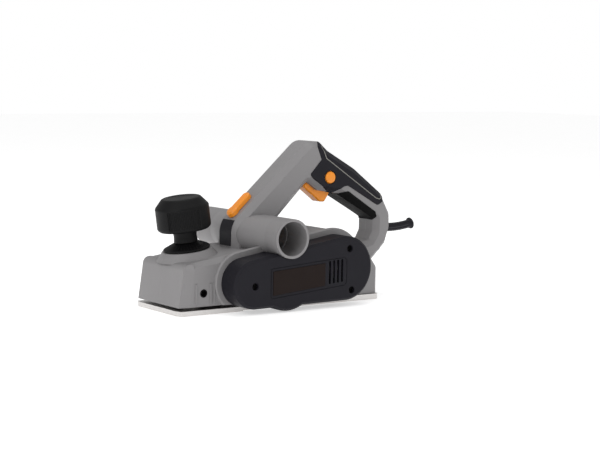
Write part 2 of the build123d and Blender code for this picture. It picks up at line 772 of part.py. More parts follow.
with BuildPart() as depth_knob:
    knob_section = Plane(origin=knob_plane.origin, x_dir=knob_plane.x_dir, z_dir=(0, -1, 0))
    top = knob_head_start + knob_head_height
    with BuildSketch(knob_section):
        with BuildLine():
            Polyline(
                (0, dial_height + slip_gap), (knob_neck_radius, dial_height + slip_gap),
                (knob_neck_radius, knob_head_start - 1.5), (knob_head_radius - 4, knob_head_start - 1.5),
                (knob_head_radius, knob_head_start + 2.5), (knob_head_radius, top - 9.5),
                (knob_head_radius - 0.8, top - 8), (knob_top_radius + 1.5, top - 1), (knob_top_radius, top),
                (0, top), close=True,
            )
        make_face()
    revolve(axis=Axis(knob_plane.origin, knob_plane.z_dir))
    with BuildSketch(knob_plane.offset(knob_head_start - 3)) as grooves:
        for edge in (-grip_patch_angle / 2, grip_patch_angle / 2):
            with PolarLocations(knob_head_radius, grip_patch_count, start_angle=grip_facing_angle + edge):
                Circle(grip_groove_radius)
    extrude(grooves.sketch, amount=knob_head_height - 6.5, mode=Mode.SUBTRACT)
    knob_bar(depth_screw_diameter / 2 + running_gap, -1, knob_head_start + 12.5, Mode.SUBTRACT)
save(depth_knob, "depth_knob")

# ---- cutter drum -------------------------------------------------------------------
pocket_width = clamp_width + blade_thickness + 3 * slip_gap
clamp_offset = (pocket_width - clamp_width) / 2 - slip_gap
blade_offset = -(pocket_width - blade_thickness) / 2 + slip_gap
blade_middle = cutting_radius - blade_depth / 2
clamp_height = pocket_depth - 1.2
clamp_middle = drum_radius - pocket_depth + slip_gap + clamp_height / 2
blade_screw_y = (-26, 0, 26)


def drum_bars(radial, across, size, y_half):
    """Two opposite bars along the drum, each square to its own radius."""
    with BuildSketch(drum_plane.offset(-y_half)) as ends:
        with PolarLocations(0, 2, start_angle=35):
            with Locations((radial, across)):
                Rectangle(*size)
    return ends.sketch


def blade_screw_bars(radius, low, high, mode=Mode.ADD):
    """Cylinders along the two clamp radii at each screw station."""
    for turn in (35, 215):
        direction = (cos(radians(turn)), 0, sin(radians(turn)))
        side_step = (-sin(radians(turn)) * clamp_offset, 0, cos(radians(turn)) * clamp_offset)
        for y in blade_screw_y:
            origin_x = drum_x + side_step[0] + direction[0] * low
            origin_z = drum_z + side_step[2] + direction[2] * low
            origin = (origin_x, y, origin_z)
            with BuildSketch(Plane(origin=origin, z_dir=direction)) as end:
                Circle(radius)
            extrude(end.sketch, amount=high - low, mode=mode)


with BuildPart() as cutter_drum:
    bar(drum_x, drum_z, drum_radius, -half_drum, half_drum)
    pocket_middle = drum_radius - pocket_depth / 2 + 1
    pockets = drum_bars(pocket_middle, 0, (pocket_depth + 2, pocket_width), half_drum + 1)
    extrude(pockets, amount=drum_length + 2, mode=Mode.SUBTRACT)
    bar(drum_x, drum_z, drum_shaft_diameter / 2 + running_gap, -half_drum - 1, half_drum + 1, Mode.SUBTRACT)
    thread_radius = blade_screw_diameter / 2 + running_gap
    blade_screw_bars(thread_radius, blade_screw_low - 0.5, drum_radius, Mode.SUBTRACT)
save(cutter_drum, "cutter_drum")

with BuildPart() as drum_blades:
    blade_faces = drum_bars(blade_middle, blade_offset, (blade_depth, blade_thickness), half_drum)
    extrude(blade_faces, amount=drum_length)
save(drum_blades, "drum_blades")

with BuildPart() as blade_clamps:
    clamp_faces = drum_bars(clamp_middle, clamp_offset, (clamp_height, clamp_width), half_drum - 1)
    extrude(clamp_faces, amount=drum_length - 2)
    blade_screw_bars(blade_screw_diameter / 2 + running_gap, 8, drum_radius + 2, Mode.SUBTRACT)
save(blade_clamps, "blade_clamps")

with BuildPart() as blade_screws:
    blade_screw_bars(blade_screw_diameter / 2, blade_screw_low, drum_radius - 1.4)
save(blade_screws, "blade_screws")

with BuildPart() as drum_shaft:
    bar(drum_x, drum_z, drum_shaft_diameter / 2, pulley_outer_y - pulley_nut_height - 1, bearing_boss_y)
save(drum_shaft, "drum_shaft")

with BuildPart() as drum_bearings:
    for side in (-1, 1):
        near, far = sorted((side * (bearing_boss_y - 0.3 - bearing_width), side * (bearing_boss_y - 0.3)))
        tube(drum_x, drum_z, bearing_outer / 2, drum_shaft_diameter / 2 + running_gap, near, far)
        for y in (near, far):
            groove = round_face(drum_x, drum_z, bearing_outer / 2 - 2, y + 0.5)
            groove = groove - round_face(drum_x, drum_z, drum_shaft_diameter / 2 + 2, y + 0.5)
            extrude(groove, amount=1, mode=Mode.SUBTRACT)
save(drum_bearings, "drum_bearings")


# ---- belt drive --------------------------------------------------------------------
def pulley(x, z, radius, shaft_radius):
    """Ribbed pulley with a rim each side, bored for its shaft."""
    with BuildPart() as wheel:
        bar(x, z, radius, pulley_outer_y, pulley_inner_y)
        for y in (pulley_outer_y, pulley_inner_y - pulley_rim):
            bar(x, z, radius + belt_thickness + 0.8, y, y + pulley_rim)
        bar(x, z, shaft_radius + running_gap, pulley_outer_y - 1, pulley_inner_y + 1, Mode.SUBTRACT)
    return wheel


def pulley_nut(x, z, shaft_radius):
    """Hexagon nut that holds a pulley on its shaft."""
    with BuildPart() as nut:
        with BuildSketch(side_plane(pulley_outer_y - slip_gap)) as flats:
            with Locations((x, z)):
                RegularPolygon(pulley_nut_width / 2, 6, major_radius=False)
        extrude(flats.sketch, amount=pulley_nut_height)
        nut_low_y = pulley_outer_y - pulley_nut_height
        bar(x, z, shaft_radius + running_gap, nut_low_y - 1, pulley_outer_y + 1, Mode.SUBTRACT)
    return nut


save(pulley(drum_x, drum_z, drum_pulley_radius, drum_shaft_diameter / 2), "drum_pulley")
save(pulley(motor_x, motor_z, motor_pulley_radius, armature_shaft_diameter / 2), "motor_pulley")
save(pulley_nut(drum_x, drum_z, drum_shaft_diameter / 2), "drum_pulley_nut")
save(pulley_nut(motor_x, motor_z, armature_shaft_diameter / 2), "motor_pulley_nut")

with BuildPart() as drive_belt:
    inner_rounds = [
        (drum_x, drum_z, drum_pulley_radius + part_gap),
        (motor_x, motor_z, motor_pulley_radius + part_gap),
    ]
    outer_rounds = [(x, z, radius + belt_thickness) for x, z, radius in inner_rounds]
    loop_face = tangent_outline(*outer_rounds) - tangent_outline(*inner_rounds)
    belt_width = pulley_width - 2 * pulley_rim - 2 * part_gap
    extrude(moved_to_y(loop_face, pulley_inner_y - pulley_rim - part_gap), amount=belt_width)
save(drive_belt, "drive_belt")

# ---- belt cover --------------------------------------------------------------------
scallop_radius = outlet_outer_radius + 0.8
with BuildPart() as belt_cover:
    extrude(moved_to_y(cover_outline(), cover_back_y), amount=cover_depth)
    chamfer(belt_cover.faces().sort_by(Axis.Y)[0].edges(), length=cover_edge)
    hollow = cover_outline(grow=-cover_wall) - round_face(outlet_x, outlet_z, scallop_radius + cover_wall, 0)
    extrude(moved_to_y(hollow, cover_back_y + 1), amount=cover_depth - cover_wall + 1, mode=Mode.SUBTRACT)
    for x, z in cover_screw_places:
        bar(x, z, cover_screw_head / 2 + 2.5, cover_face_y + 1, cover_back_y)
    bar(outlet_x, outlet_z, scallop_radius, -90, 0, Mode.SUBTRACT)
    for x, z in cover_screw_places:
        bar(x, z, screw_diameter / 2 + slip_gap, -90, -40, Mode.SUBTRACT)
        bar(x, z, cover_screw_head / 2 + part_gap, -90, cover_screw_seat_y, Mode.SUBTRACT)
    for index in range(vent_count):
        x = vent_first_x + index * vent_pitch
        z = 37.0 + index * 0.4
        with BuildSketch(Plane.XZ.offset(60)) as vent:
            with Locations((x, z)):
                SlotOverall(24, vent_width, rotation=90)
        extrude(vent.sketch, amount=20, mode=Mode.SUBTRACT)
    groove_face = outline_face(frame_corners) - outline_face(frame_corners, grow=-0.9)
    extrude(moved_to_y(groove_face, cover_face_y + 0.5), amount=1, mode=Mode.SUBTRACT)
    label_bed = outline_face(label_corners, Plane.XZ.offset(-cover_face_y - 0.5), slip_gap)
    extrude(label_bed, amount=1, mode=Mode.SUBTRACT)
save(belt_cover, "belt_cover")

with BuildPart() as label_plate:
    extrude(outline_face(label_corners, Plane.XZ.offset(-cover_face_y - 0.5)), amount=label_thickness)
save(label_plate, "label_plate")


def cross_head_screw(x, z, head_y, tip_y):
    """Pan-head screw along Y with a cross recess; the head's top is at head_y."""
    toward = 1 if tip_y > head_y else -1
    seat_y = head_y + toward * screw_head_height
    bar(x, z, screw_head_diameter / 2, *sorted((head_y, seat_y)))
    bar(x, z, screw_diameter / 2, *sorted((seat_y, tip_y)))
    with Locations((x, head_y, z)):
        Box(3.6, 2.0, 0.9, mode=Mode.SUBTRACT)
        Box(0.9, 2.0, 3.6, mode=Mode.SUBTRACT)


with BuildPart() as belt_cover_screws:
    for x, z in cover_screw_places:
        cross_head_screw(x, z, cover_screw_seat_y - screw_head_height - slip_gap, cover_screw_tip_y)
save(belt_cover_screws, "belt_cover_screws")

with BuildPart() as housing_screws:
    for x, z in housing_screw_places:
        head_y = boss_reach(x, z) - housing_head_depth + screw_head_height + slip_gap
        cross_head_screw(x, z, head_y, -housing_screw_bite)
save(housing_screws, "housing_screws")

with BuildPart() as fence_inserts:
    for side in (-1, 1):
        near, far = sorted((side * (half_body - fence_insert_length), side * (half_body - 0.2)))
        tube(fence_x, fence_z, fence_insert_radius, fence_bore_radius, near, far)
save(fence_inserts, "fence_inserts")

# ---- motor -------------------------------------------------------------------------
core_y = (motor_centre_y - field_length / 2, motor_centre_y + field_length / 2)
shaft_radius = armature_shaft_diameter / 2
far_winding_y = (core_y[1] + slip_gap, core_y[1] + winding_length)
near_winding_y = (core_y[0] - winding_length, core_y[0] - slip_gap)
commutator_y = (far_winding_y[1] + 1, far_winding_y[1] + 1 + commutator_length)
fan_y = (near_winding_y[0] - 1 - fan_width, near_winding_y[0] - 1)

with BuildPart() as armature_shaft:
    bar(motor_x, motor_z, shaft_radius, pulley_outer_y - pulley_nut_height - 1, half_body - 2.5)
save(armature_shaft, "armature_shaft")

with BuildPart() as armature_core:
    tube(motor_x, motor_z, armature_radius, shaft_radius + running_gap, *core_y)
    with BuildSketch(side_plane(core_y[1] + 1)) as slots:
        with Locations((motor_x, motor_z)):
            with PolarLocations(armature_radius - 2, 12):
                Rectangle(5, 1.6)
    extrude(slots.sketch, amount=field_length + 2, mode=Mode.SUBTRACT)
save(armature_core, "armature_core")

with BuildPart() as armature_windings:
    for limits in (near_winding_y, far_winding_y):
        tube(motor_x, motor_z, winding_radius, shaft_radius + running_gap, *limits)
    end_edges = armature_windings.faces().filter_by(Axis.Y).edges()
    chamfer(end_edges.filter_by(lambda edge: edge.radius > 10), length=2)
save(armature_windings, "armature_windings")

with BuildPart() as commutator:
    tube(motor_x, motor_z, commutator_radius, shaft_radius + running_gap, *commutator_y)
    with BuildSketch(side_plane(commutator_y[1] + 1)) as gaps:
        with Locations((motor_x, motor_z)):
            with PolarLocations(commutator_radius, 24):
                Rectangle(2.0, 0.5)
    extrude(gaps.sketch, amount=commutator_length + 2, mode=Mode.SUBTRACT)
save(commutator, "commutator")

with BuildPart() as cooling_fan:
    tube(motor_x, motor_z, fan_radius, shaft_radius + running_gap, fan_y[1] - 1.6, fan_y[1])
    tube(motor_x, motor_z, 9, shaft_radius + running_gap, *fan_y)
    with BuildSketch(side_plane(fan_y[1] - 1)) as fan_blades:
        with Locations((motor_x, motor_z)):
            with PolarLocations(18, 11):
                Rectangle(19, 1.4, rotation=18)
    extrude(fan_blades.sketch, amount=fan_width - 1)
save(cooling_fan, "cooling_fan")

with BuildPart() as motor_bearings:
    for near in (-38, half_body - 2 - motor_bearing_width):
        bore_radius = shaft_radius + running_gap
        tube(motor_x, motor_z, motor_bearing_outer / 2, bore_radius, near, near + motor_bearing_width)
save(motor_bearings, "motor_bearings")

with BuildPart() as field_core:
    tube(motor_x, motor_z, field_radius, field_bore_radius, *core_y)
save(field_core, "field_core")

with BuildPart() as field_windings:
    for near, far in ((core_y[0] - 7, core_y[0] - slip_gap), (core_y[1] + slip_gap, core_y[1] + 7)):
        tube(motor_x, motor_z, field_radius - 2, field_bore_radius + 3, near, far)
save(field_windings, "field_windings")

brush_y = (commutator_y[0] + commutator_y[1]) / 2
brush_reach = commutator_radius + part_gap
with BuildPart() as brush_holders:
    for side in (-1, 1):
        outer = side * (field_radius - 1) + motor_x
        inner = side * (brush_reach + 2) + motor_x
        half_case = brush_size / 2 + 1.5
        case_y = (brush_y - half_case, brush_y + half_case)
        case_z = (motor_z - half_case, motor_z + half_case)
        block(sorted((inner, outer)), case_y, case_z)
        half_hole = brush_size / 2 + slip_gap
        hole_x = sorted((inner - side * 2, outer - side * 1.5))
        hole_y = (brush_y - half_hole, brush_y + half_hole)
        hole_z = (motor_z - half_hole, motor_z + half_hole)
        block(hole_x, hole_y, hole_z, Mode.SUBTRACT)
save(brush_holders, "brush_holders")

with BuildPart() as carbon_brushes:
    for side in (-1, 1):
        tip = motor_x + side * brush_reach
        tail = tip + side * brush_length
        half_brush = brush_size / 2
        stick_y = (brush_y - half_brush, brush_y + half_brush)
        stick_z = (motor_z - half_brush, motor_z + half_brush)
        block(sorted((tip, tail)), stick_y, stick_z)
save(carbon_brushes, "carbon_brushes")

# ---- controls ----------------------------------------------------------------------
with BuildPart() as switch_trigger:
    extrude(outline_face(trigger_corners), amount=trigger_width / 2, both=True)
    chamfer(switch_trigger.faces().filter_by(Axis.Y).edges(), length=1.2)
save(switch_trigger, "switch_trigger")

with BuildPart() as switch_body:
    add(switch_block())
save(switch_body, "switch_body")

with BuildPart() as lock_on_button:
    bar(button_x, button_z, button_radius, -half_handle - button_proud, -half_handle + 4)
    fillet(lock_on_button.faces().sort_by(Axis.Y)[0].edges(), radius=1.6)
    flange_y = -half_handle + wall + slip_gap
    bar(button_x, button_z, button_radius + button_flange, flange_y, -half_handle + wall + 2)
    bar(button_x, button_z, 2.5, -half_handle + wall, -half_handle + wall + 3)
save(lock_on_button, "lock_on_button")

with BuildPart() as chip_selector:
    with BuildSketch(selector_plane.offset(part_gap)) as lever:
        SlotCenterToCenter(selector_length - 12, 10)
        with Locations((-(selector_length - 12) / 2, 0)):
            Circle(6.5)
    extrude(lever.sketch, amount=selector_height)
    chamfer(chip_selector.faces().sort_by(selector_axis)[-1].edges(), length=1.5)
    spindle_bar(spindle_radius, -part_gap - 1, spindle_depth)
    vane_plane = Plane(origin=selector_plane.origin, x_dir=selector_plane.x_dir, z_dir=(0, -1, 0))
    with BuildSketch(vane_plane) as vane:
        with Locations((vane_shift, -(vane_start + vane_length / 2))):
            Rectangle(vane_width, vane_length)
    extrude(vane.sketch, amount=1.2, both=True)
save(chip_selector, "chip_selector")

# ---- cord entry --------------------------------------------------------------------
with BuildPart() as cord_guard:
    with BuildLine(Plane.XZ) as guard_path:
        straight = Line((guard_seat_x - 3.5, guard_z), (174, guard_z))
        TangentArc((174, guard_z), guard_end, tangent=straight % 1)
    with BuildSketch(Plane(origin=(guard_seat_x - 3.5, 0, guard_z), z_dir=(1, 0, 0))) as guard_section:
        Circle(guard_radius)
    sweep(guard_section.sketch, path=guard_path.line)
    end_plane = Plane(origin=guard_path.line @ 1, z_dir=guard_path.line % 1)
    with BuildSketch(end_plane.offset(-4.5)) as bell_root:
        Circle(guard_radius - 0.2)
    with BuildSketch(end_plane) as bell_mouth:
        Circle(guard_bell_radius)
    loft([bell_root.sketch.face(), bell_mouth.sketch.face()])
    extrude(bell_mouth.sketch, amount=1.2)
    with BuildSketch(Plane(origin=(guard_seat_x - 3.5, 0, guard_z), z_dir=(1, 0, 0))) as flange_face:
        Rectangle(14, 14)
    extrude(flange_face.sketch, amount=3)
    with BuildSketch(Plane(origin=(guard_seat_x - 3.5, 0, guard_z), z_dir=(1, 0, 0))) as bore_section:
        Circle(guard_bore_radius)
    sweep(bore_section.sketch, path=guard_path.line, mode=Mode.SUBTRACT)
    with BuildSketch(end_plane.offset(-1)) as mouth_bore:
        Circle(guard_bore_radius)
    extrude(mouth_bore.sketch, amount=4, mode=Mode.SUBTRACT)
save(cord_guard, "cord_guard")

with BuildPart() as cord_clamp:
    block(clamp_x, (-6, -3), clamp_z)
    for z in clamp_screw_z:
        bar(clamp_screw_x, z, screw_diameter / 2 + slip_gap, -8, 0, Mode.SUBTRACT)
save(cord_clamp, "cord_clamp")

with BuildPart() as cord_clamp_screws:
    for z in clamp_screw_z:
        cross_head_screw(clamp_screw_x, z, -6 - slip_gap - screw_head_height, clamp_screw_tip_y)
save(cord_clamp_screws, "cord_clamp_screws")
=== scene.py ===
"""Looks of the electric hand planer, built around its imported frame.

Metres. +X runs from the knob to the cord, +Z is up, and the belt cover is on the -Y side.
"""

import json
import math

import bpy
import numpy as np
from mathutils import Matrix, Vector


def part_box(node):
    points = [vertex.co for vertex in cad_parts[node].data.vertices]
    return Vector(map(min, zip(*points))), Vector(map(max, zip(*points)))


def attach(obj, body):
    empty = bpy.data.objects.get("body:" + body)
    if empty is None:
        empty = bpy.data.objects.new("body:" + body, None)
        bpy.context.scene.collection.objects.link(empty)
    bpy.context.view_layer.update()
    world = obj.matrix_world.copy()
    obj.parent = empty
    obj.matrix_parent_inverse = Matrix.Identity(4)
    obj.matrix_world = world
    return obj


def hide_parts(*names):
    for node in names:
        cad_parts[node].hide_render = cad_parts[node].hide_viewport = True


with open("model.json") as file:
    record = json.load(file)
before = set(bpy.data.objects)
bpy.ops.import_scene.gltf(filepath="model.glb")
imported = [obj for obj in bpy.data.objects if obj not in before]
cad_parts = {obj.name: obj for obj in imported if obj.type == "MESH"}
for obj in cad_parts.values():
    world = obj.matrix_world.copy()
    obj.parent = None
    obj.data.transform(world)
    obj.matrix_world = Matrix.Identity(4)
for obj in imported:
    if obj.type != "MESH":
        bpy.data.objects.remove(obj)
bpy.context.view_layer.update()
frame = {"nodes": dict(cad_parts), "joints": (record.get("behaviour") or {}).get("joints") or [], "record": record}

TAU = 2 * math.pi


# ---- camera, floor and light --------------------------------------------------------
def make_camera():
    """A long lens low down in front of the planer's left side, a touch out of level."""
    azimuth, elevation, roll = map(math.radians, (35.388, 6.091, 0.847))
    distance = 1.626136
    target = Vector((0.050579, 0.0, 0.070731))
    back = Vector((
        -math.sin(azimuth) * math.cos(elevation),
        -math.cos(azimuth) * math.cos(elevation),
        math.sin(elevation),
    ))
    right = Vector((math.cos(azimuth), -math.sin(azimuth), 0.0))
    up = back.cross(right)
    across = right * math.cos(roll) + up * math.sin(roll)
    upward = up * math.cos(roll) - right * math.sin(roll)
    camera = bpy.data.objects.new("camera", bpy.data.cameras.new("camera"))
    bpy.context.scene.collection.objects.link(camera)
    camera.data.sensor_width = 36.0
    camera.data.lens = 91.162
    camera.data.clip_start = 0.05
    camera.data.clip_end = 50.0
    turn = Matrix((across, upward, back)).transposed().to_4x4()
    camera.matrix_world = Matrix.Translation(target + back * distance) @ turn
    bpy.context.scene.camera = camera


def area_light(name, place, size, watts):
    """A square soft box that looks at the middle of the planer."""
    lamp = bpy.data.lights.new(name, "AREA")
    lamp.size = size
    lamp.energy = watts
    light = bpy.data.objects.new(name, lamp)
    bpy.context.scene.collection.objects.link(light)
    toward = Vector((0.03, 0.0, 0.06)) - Vector(place)
    light.matrix_world = Matrix.Translation(place) @ toward.to_track_quat("-Z", "Y").to_matrix().to_4x4()


def make_studio():
    """A white room and three soft boxes, the strongest one in front of the knob."""
    world = bpy.data.worlds.new("white_room")
    world.use_nodes = True
    world.node_tree.nodes["Background"].inputs["Color"].default_value = (1.0, 1.0, 1.0, 1.0)
    seen = world.node_tree.nodes.new("ShaderNodeLightPath").outputs["Is Camera Ray"]
    lift = maths(world.node_tree, "MULTIPLY", seen, BACKDROP_STRENGTH - ROOM_STRENGTH)
    strength = maths(world.node_tree, "ADD", lift, ROOM_STRENGTH)
    world.node_tree.links.new(strength, world.node_tree.nodes["Background"].inputs["Strength"])
    bpy.context.scene.world = world
    bpy.context.scene.view_settings.view_transform = "Standard"
    area_light("front_box", (-1.5, -0.5, 1.1), 1.0, 8.3)
    area_light("side_box", (0.4, -1.7, 0.9), 1.2, 2.0)
    area_light("top_box", (0.1, 0.2, 1.7), 1.2, 7.2)


def make_floor():
    """A wide pale sheet just under the sole."""
    half, level = 6.0, -0.0004
    mesh = bpy.data.meshes.new("floor")
    corners = [(-half, -half, level), (half, -half, level), (half, half, level), (-half, half, level)]
    mesh.from_pydata(corners, [], [(0, 1, 2, 3)])
    floor = bpy.data.objects.new("floor", mesh)
    bpy.context.scene.collection.objects.link(floor)
    mesh.materials.append(floor_paper())


# ---- shader node groups -------------------------------------------------------------
def new_group(name, inputs, outputs):
    """An empty shader group with named sockets; returns the group, its input and its output node."""
    group = bpy.data.node_groups.new(name, "ShaderNodeTree")
    for label, kind, value in inputs:
        socket = group.interface.new_socket(name=label, in_out="INPUT", socket_type=kind)
        socket.default_value = value
    for label, kind in outputs:
        group.interface.new_socket(name=label, in_out="OUTPUT", socket_type=kind)
    return group, group.nodes.new("NodeGroupInput"), group.nodes.new("NodeGroupOutput")


def maths(tree, operation, first, second=0.0, clamp=False):
    """A Math node on two sockets or numbers; returns its output socket."""
    node = tree.nodes.new("ShaderNodeMath")
    node.operation = operation
    node.use_clamp = clamp
    for socket, value in zip(node.inputs, (first, second)):
        if isinstance(value, bpy.types.NodeSocket):
            tree.links.new(value, socket)
        else:
            socket.default_value = value
    return node.outputs[0]


def noise(tree, vector, scale, detail=4.0, roughness=0.5):
    """A Noise Texture on a vector socket; returns its 0 to 1 factor."""
    node = tree.nodes.new("ShaderNodeTexNoise")
    tree.links.new(vector, node.inputs["Vector"])
    for label, value in (("Scale", scale), ("Detail", detail), ("Roughness", roughness)):
        if isinstance(value, bpy.types.NodeSocket):
            tree.links.new(value, node.inputs[label])
        else:
            node.inputs[label].default_value = value
    return node.outputs["Fac"]


def object_place(tree):
    """The point on the surface, in metres, in the planer's own frame."""
    return tree.nodes.new("ShaderNodeTexCoord").outputs["Object"]


def make_moulded_grain():
    """Spark-eroded mould texture: fine pits over soft cells, with a slow drift of shade and gloss."""
    group, inside, out = new_group(
        "moulded_grain",
        [("Pits", "NodeSocketFloat", 2600.0), ("Drift", "NodeSocketFloat", 14.0)],
        [("Height", "NodeSocketFloat"), ("Shade", "NodeSocketFloat"), ("Gloss", "NodeSocketFloat")],
    )
    place = object_place(group)
    pits = noise(group, place, inside.outputs["Pits"], 2.0, 0.6)
    cells = group.nodes.new("ShaderNodeTexVoronoi")
    group.links.new(place, cells.inputs["Vector"])
    group.links.new(maths(group, "MULTIPLY", inside.outputs["Pits"], 0.6), cells.inputs["Scale"])
    height = maths(group, "ADD", pits, maths(group, "MULTIPLY", cells.outputs["Distance"], 0.5))
    drift = noise(group, place, inside.outputs["Drift"], 3.0)
    shade = maths(group, "ADD", maths(group, "MULTIPLY", drift, 0.7), maths(group, "MULTIPLY", pits, 0.3))
    gloss = noise(group, place, maths(group, "MULTIPLY", inside.outputs["Drift"], 4.0), 5.0)
    group.links.new(height, out.inputs["Height"])
    group.links.new(shade, out.inputs["Shade"])
    group.links.new(gloss, out.inputs["Gloss"])
    return group


def make_soft_edges():
    """Rounds the look of a sharp corner, and marks it: how far the rounded normal leans from the flat one."""
    group, inside, out = new_group(
        "soft_edges",
        [("Radius", "NodeSocketFloat", 0.0006), ("Reach", "NodeSocketFloat", 6.0)],
        [("Normal", "NodeSocketVector"), ("Mask", "NodeSocketFloat")],
    )
    bevel = group.nodes.new("ShaderNodeBevel")
    bevel.samples = 4
    group.links.new(inside.outputs["Radius"], bevel.inputs["Radius"])
    flat = group.nodes.new("ShaderNodeNewGeometry")
    lean = group.nodes.new("ShaderNodeVectorMath")
    lean.operation = "DOT_PRODUCT"
    group.links.new(bevel.outputs["Normal"], lean.inputs[0])
    group.links.new(flat.outputs["Normal"], lean.inputs[1])
    turned = maths(group, "SUBTRACT", 1.0, lean.outputs["Value"])
    broken = noise(group, object_place(group), 220.0, 4.0, 0.7)
    mask = maths(group, "MULTIPLY", maths(group, "MULTIPLY", turned, inside.outputs["Reach"]), broken, True)
    group.links.new(bevel.outputs["Normal"], out.inputs["Normal"])
    group.links.new(mask, out.inputs["Mask"])
    return group


def make_tool_marks():
    """Long scratches along one axis, as milling or grinding leaves: noise squeezed across that axis."""
    group, inside, out = new_group(
        "tool_marks",
        [("Stretch", "NodeSocketVector", (40.0, 1500.0, 1500.0))],
        [("Height", "NodeSocketFloat"), ("Shade", "NodeSocketFloat")],
    )
    squeezed = group.nodes.new("ShaderNodeVectorMath")
    squeezed.operation = "MULTIPLY"
    group.links.new(object_place(group), squeezed.inputs[0])
    group.links.new(inside.outputs["Stretch"], squeezed.inputs[1])
    lines = noise(group, squeezed.outputs["Vector"], 1.0, 5.0, 0.65)
    clouds = noise(group, object_place(group), 55.0, 3.0)
    shade = maths(group, "ADD", maths(group, "MULTIPLY", lines, 0.65), maths(group, "MULTIPLY", clouds, 0.35))
    group.links.new(lines, out.inputs["Height"])
    group.links.new(shade, out.inputs["Shade"])
    return group


def make_ribbing():
    """Fine parallel ridges square to a direction: a triangle wave of the distance along it."""
    group, inside, out = new_group(
        "ribbing",
        [("Direction", "NodeSocketVector", (1.0, 0.0, 0.0)), ("Pitch", "NodeSocketFloat", 0.0012)],
        [("Height", "NodeSocketFloat")],
    )
    along = group.nodes.new("ShaderNodeVectorMath")
    along.operation = "DOT_PRODUCT"
    group.links.new(object_place(group), along.inputs[0])
    group.links.new(inside.outputs["Direction"], along.inputs[1])
    turns = maths(group, "DIVIDE", along.outputs["Value"], inside.outputs["Pitch"])
    ridge = maths(group, "PINGPONG", turns, 0.5)
    group.links.new(maths(group, "MULTIPLY", ridge, 2.0), out.inputs["Height"])
    return group


# ---- materials ----------------------------------------------------------------------
def linear(red, green, blue):
    """An sRGB colour, each channel 0 to 255, as the linear colour that a shader takes."""
    def one(value):
        value = value / 255.0
        return value / 12.92 if value <= 0.04045 else ((value + 0.055) / 1.055) ** 2.4
    return (one(red), one(green), one(blue), 1.0)


def scaled(colour, factor):
    """A colour made lighter or darker."""
    return tuple(min(1.0, channel * factor) for channel in colour[:3]) + (1.0,)


def use_group(tree, group, **values):
    """Places a node group in a material with its own values."""
    node = tree.nodes.new("ShaderNodeGroup")
    node.node_tree = group
    for label, value in values.items():
        node.inputs[label].default_value = value
    return node


def mix(tree, factor, first, second):
    """A colour between two colours, each a socket or a value; returns the output socket."""
    node = tree.nodes.new("ShaderNodeMix")
    node.data_type = "RGBA"
    node.clamp_factor = True
    sockets = (node.inputs["Factor"], node.inputs[6], node.inputs[7])
    for socket, value in zip(sockets, (factor, first, second)):
        if isinstance(value, bpy.types.NodeSocket):
            tree.links.new(value, socket)
        else:
            socket.default_value = value
    return node.outputs[2]


def spread(tree, factor, low, high):
    """A 0 to 1 factor carried onto the range from low to high."""
    node = tree.nodes.new("ShaderNodeMapRange")
    tree.links.new(factor, node.inputs["Value"])
    node.inputs["From Min"].default_value = 0.25
    node.inputs["From Max"].default_value = 0.75
    node.inputs["To Min"].default_value = low
    node.inputs["To Max"].default_value = high
    return node.outputs["Result"]


def bump(tree, shader, height, distance, normal=None, strength=1.0):
    """Raises the surface of a shader by a height, over a soft-edged normal if there is one."""
    node = tree.nodes.new("ShaderNodeBump")
    node.inputs["Strength"].default_value = strength
    node.inputs["Distance"].default_value = distance
    tree.links.new(height, node.inputs["Height"])
    if normal is not None:
        tree.links.new(normal, node.inputs["Normal"])
    tree.links.new(node.outputs["Normal"], shader.inputs["Normal"])


def new_material(name):
    """A material with a lone Principled shader; returns the material, its tree and the shader."""
    material = bpy.data.materials.new(name)
    material.use_nodes = True
    return material, material.node_tree, material.node_tree.nodes["Principled BSDF"]


def moulded(name, colour, gloss, pits=2600.0, relief=0.00004, edge_highlight=0.35, radius=0.0006, ribs=None, shine=0.5):
    """Moulded plastic or rubber: grained, a little uneven in shade, smoother along its edges, and lighter along them
    by a painted highlight.
    """
    material, tree, shader = new_material(name)
    grain = use_group(tree, GRAIN, Pits=pits, Drift=14.0)
    edges = use_group(tree, EDGES, Radius=radius, Reach=6.0)
    uneven = mix(tree, spread(tree, grain.outputs["Shade"], 0.0, 1.0), scaled(colour, 0.93), scaled(colour, 1.07))
    # painted highlight: the base colour is lightened along the rounded edges, following the edge mask
    edge_lit_colour = mix(tree, maths(tree, "MULTIPLY", edges.outputs["Mask"], edge_highlight), uneven, scaled(colour, 1.7))
    tree.links.new(edge_lit_colour, shader.inputs["Base Color"])
    tree.links.new(spread(tree, grain.outputs["Gloss"], gloss[0], gloss[1]), shader.inputs["Roughness"])
    shader.inputs["Specular IOR Level"].default_value = shine
    height = grain.outputs["Height"]
    if ribs is not None:
        ridge = use_group(tree, RIBBING, Direction=ribs[0], Pitch=ribs[1])
        height = maths(tree, "ADD", maths(tree, "MULTIPLY", ridge.outputs["Height"], ribs[2]), height)
    bump(tree, shader, height, relief, edges.outputs["Normal"])
    return material


def machined(name, colour, gloss, stretch, relief=0.00002, edge_highlight=0.5, radius=0.0003):
    """Bare metal with tool marks along one axis and a painted highlight that brightens its edges."""
    material, tree, shader = new_material(name)
    marks = use_group(tree, MARKS, Stretch=stretch)
    edges = use_group(tree, EDGES, Radius=radius, Reach=8.0)
    body = mix(tree, spread(tree, marks.outputs["Shade"], 0.0, 1.0), scaled(colour, 0.86), scaled(colour, 1.08))
    # painted highlight: the base colour is brightened along the rounded edges, following the edge mask
    bright = mix(tree, maths(tree, "MULTIPLY", edges.outputs["Mask"], edge_highlight), body, scaled(colour, 1.3))
    tree.links.new(bright, shader.inputs["Base Color"])
    shader.inputs["Metallic"].default_value = 1.0
    tree.links.new(spread(tree, marks.outputs["Shade"], gloss[0], gloss[1]), shader.inputs["Roughness"])
    bump(tree, shader, marks.outputs["Height"], relief, edges.outputs["Normal"])
    return material


